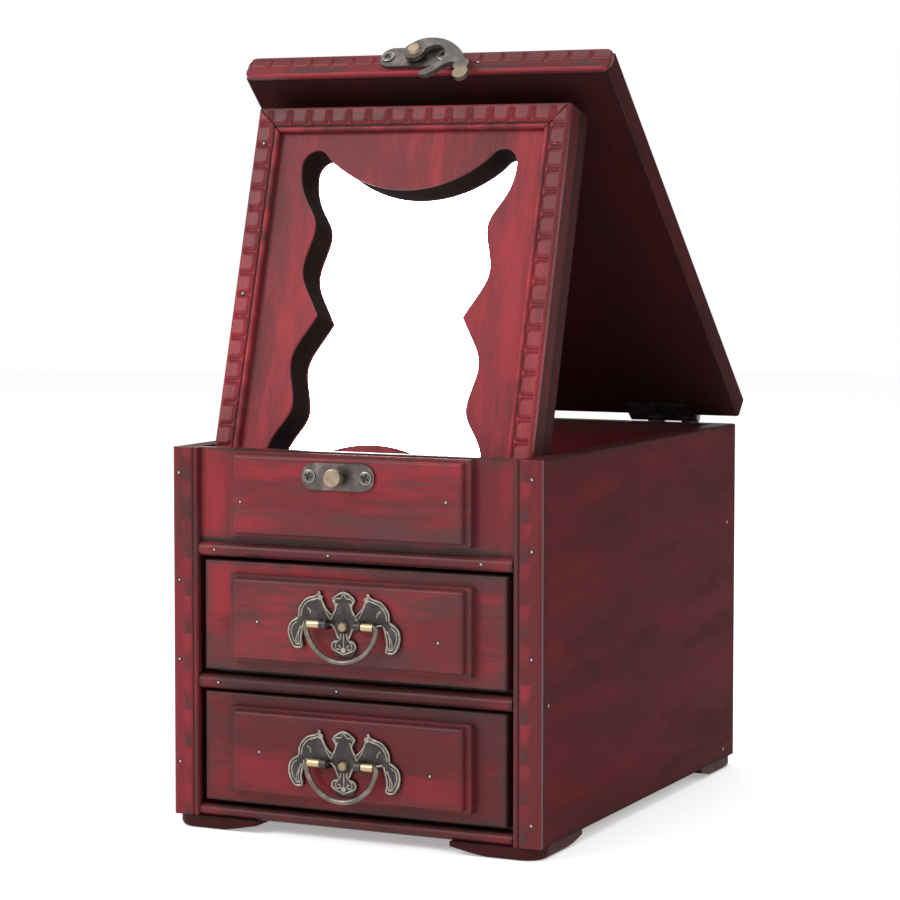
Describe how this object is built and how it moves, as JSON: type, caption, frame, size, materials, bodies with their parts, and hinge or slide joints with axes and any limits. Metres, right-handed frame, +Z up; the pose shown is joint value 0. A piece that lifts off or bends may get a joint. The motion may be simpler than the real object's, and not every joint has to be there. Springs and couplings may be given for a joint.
{
  "type": "vanity box with mirror",
  "caption": "Lacquered wooden vanity box with drawers, bail pulls, a tray, a hook latch and a lid propped open on its hinged mirror panel.",
  "frame": {"origin": "on the floor, at the centre of the whole outline as propped open, within 1 mm", "axes": "+Z up, -Y the side with the drawers, +X the right side seen from the front"},
  "size_m": [0.1428, 0.2044, 0.2773],
  "materials": {
    "red_lacquer": "antiqued red lacquer, semi-gloss",
    "dark_lacquer": "dark burgundy lacquer, satin",
    "antique_brass": "antique bronze, burnished on the high spots",
    "steel_screws": "nickelled steel",
    "mirror_glass": "silvered glass"
  },
  "bodies": {
    "case": {"left_side_panel": "red_lacquer", "right_side_panel": "red_lacquer", "back_panel": "red_lacquer", "bottom_board": "dark_lacquer", "drawer_divider": "dark_lacquer", "tray_floor": "dark_lacquer", "false_front": "red_lacquer", "false_front_panel": "red_lacquer", "left_corner_strip": "red_lacquer", "right_corner_strip": "red_lacquer", "tray_bead": "dark_lacquer", "middle_bead": "dark_lacquer", "base_bead": "dark_lacquer", "front_left_foot": "dark_lacquer", "front_right_foot": "dark_lacquer", "rear_left_foot": "dark_lacquer", "rear_right_foot": "dark_lacquer", "drawer_guides": "dark_lacquer", "catch_plate": "antique_brass", "catch_knob": "antique_brass", "catch_screws": "steel_screws", "case_hinge_leaves": "antique_brass", "lid_hinge_pins": "steel_screws"},
    "lid": {"lid_board": "red_lacquer", "lid_front_strip": "red_lacquer", "lid_hinge_leaves": "antique_brass", "hook_plate": "antique_brass", "hook_screws": "steel_screws", "hook_rivet": "antique_brass", "mirror_hinge_lid_leaves": "antique_brass", "mirror_hinge_pins": "steel_screws"},
    "hook": {"hook": "antique_brass"},
    "mirror_panel": {"mirror_front_board": "red_lacquer", "mirror_top_trim": "red_lacquer", "mirror_bottom_trim": "red_lacquer", "mirror_left_trim": "red_lacquer", "mirror_right_trim": "red_lacquer", "mirror_glass": "mirror_glass", "mirror_backing": "red_lacquer", "mirror_hinge_panel_leaves": "antique_brass"},
    "upper_drawer": {"upper_drawer_front": "red_lacquer", "upper_drawer_panel": "red_lacquer", "upper_drawer_left_side": "dark_lacquer", "upper_drawer_right_side": "dark_lacquer", "upper_drawer_back": "dark_lacquer", "upper_drawer_bottom": "dark_lacquer", "upper_pull_plate": "antique_brass", "upper_pull_brads": "steel_screws"},
    "upper_bail": {"upper_bail": "antique_brass"},
    "lower_drawer": {"lower_drawer_front": "red_lacquer", "lower_drawer_panel": "red_lacquer", "lower_drawer_left_side": "dark_lacquer", "lower_drawer_right_side": "dark_lacquer", "lower_drawer_back": "dark_lacquer", "lower_drawer_bottom": "dark_lacquer", "lower_pull_plate": "antique_brass", "lower_pull_brads": "steel_screws"},
    "lower_bail": {"lower_bail": "antique_brass"}
  },
  "joints": [
    {"name": "lid_hinge", "type": "hinge", "parent": "case", "child": "lid", "pos_m": [0, 0.099, 0.13635], "axis": [-1, 0, 0], "range_deg": [0, 52.1]},
    {"name": "mirror_hinge", "type": "hinge", "parent": "lid", "child": "mirror_panel", "pos_m": [-0.0008, -0.02916, 0.25067], "axis": [1, 0, 0], "range_deg": [0, 63.09]},
    {"name": "hook_swing", "type": "hinge", "parent": "lid", "child": "hook", "pos_m": [-0.0011, -0.03844, 0.27021], "axis": [0, -0.7325, 0.6807], "range_deg": [-95, 40]},
    {"name": "upper_drawer_slide", "type": "slide", "parent": "case", "child": "upper_drawer", "axis": [0, -1, 0], "range_m": [0, 0.12]},
    {"name": "upper_bail_swing", "type": "hinge", "parent": "upper_drawer", "child": "upper_bail", "pos_m": [0, -0.1013, 0.0761], "axis": [-1, 0, 0], "range_deg": [0, 90]},
    {"name": "lower_drawer_slide", "type": "slide", "parent": "case", "child": "lower_drawer", "axis": [0, -1, 0], "range_m": [0, 0.12]},
    {"name": "lower_bail_swing", "type": "hinge", "parent": "lower_drawer", "child": "lower_bail", "pos_m": [0, -0.1013, 0.0285], "axis": [-1, 0, 0], "range_deg": [0, 90]}
  ],
  "couplings": [
    {"joint": "mirror_hinge", "follows": "lid_hinge", "ratio": 1.211}
  ]
}
